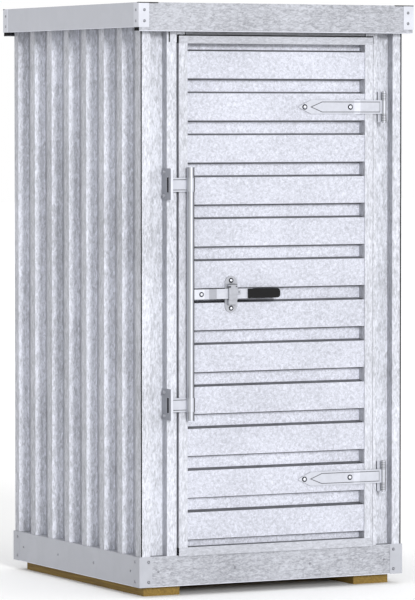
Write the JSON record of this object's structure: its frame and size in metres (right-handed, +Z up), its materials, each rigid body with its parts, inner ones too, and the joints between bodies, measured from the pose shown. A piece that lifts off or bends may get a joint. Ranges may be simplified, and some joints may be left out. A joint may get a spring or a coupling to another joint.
{
  "type": "metal tool shed",
  "caption": "Free-standing galvanised steel tool shed with ribbed walls, a flat boxed roof, timber runners and a hinged ribbed door held by a rod lock with a grip handle.",
  "frame": {"origin": "on the ground under the middle of the roof, which is the bottom centre of the bounding box", "axes": "+Z up, +X to the right seen from the door side, the door faces -Y"},
  "size_m": [1.12, 1.17, 2.124],
  "materials": {
    "galvanised_sheet": "mottled galvanised",
    "zinc_hardware": "smooth zinc plated",
    "black_grip": "matte",
    "timber": "weathered sawn timber"
  },
  "bodies": {
    "shed": {"runner_left": "timber", "runner_right": "timber", "plinth_front": "galvanised_sheet", "plinth_back": "galvanised_sheet", "plinth_left": "galvanised_sheet", "plinth_right": "galvanised_sheet", "plinth_corner_plates": "galvanised_sheet", "floor_panel": "timber", "wall_left": "galvanised_sheet", "wall_right": "galvanised_sheet", "wall_back": "galvanised_sheet", "post_left": "galvanised_sheet", "post_right": "galvanised_sheet", "lintel": "galvanised_sheet", "lintel_end_plates": "galvanised_sheet", "roof_sheet": "galvanised_sheet", "fascia_front": "galvanised_sheet", "fascia_back": "galvanised_sheet", "fascia_left": "galvanised_sheet", "fascia_right": "galvanised_sheet", "roof_corner_plates": "galvanised_sheet", "hinge_fixed_leaves": "zinc_hardware", "hinge_pins": "zinc_hardware", "lock_keepers": "zinc_hardware"},
    "door": {"door_stile_left": "galvanised_sheet", "door_stile_right": "galvanised_sheet", "door_rail_top": "galvanised_sheet", "door_rail_bottom": "galvanised_sheet", "door_sheet": "galvanised_sheet", "hinge_straps": "zinc_hardware", "lock_tube": "zinc_hardware", "lock_tongues": "zinc_hardware", "lock_bearing_pads": "zinc_hardware", "lock_handle": "zinc_hardware", "handle_grip": "black_grip", "handle_keeper": "zinc_hardware", "keeper_pin": "zinc_hardware"},
    "flap": {"keeper_flap": "zinc_hardware"}
  },
  "joints": [
    {"name": "door_swing", "type": "hinge", "parent": "shed", "child": "door", "pos_m": [0.4525, -0.556, 1.08], "axis": [0, 0, 1], "range_deg": [0, 180]},
    {"name": "flap_lift", "type": "hinge", "parent": "door", "child": "flap", "pos_m": [-0.1735, -0.5625, 1.1125], "axis": [-1, 0, 0], "range_deg": [0, 120]}
  ]
}
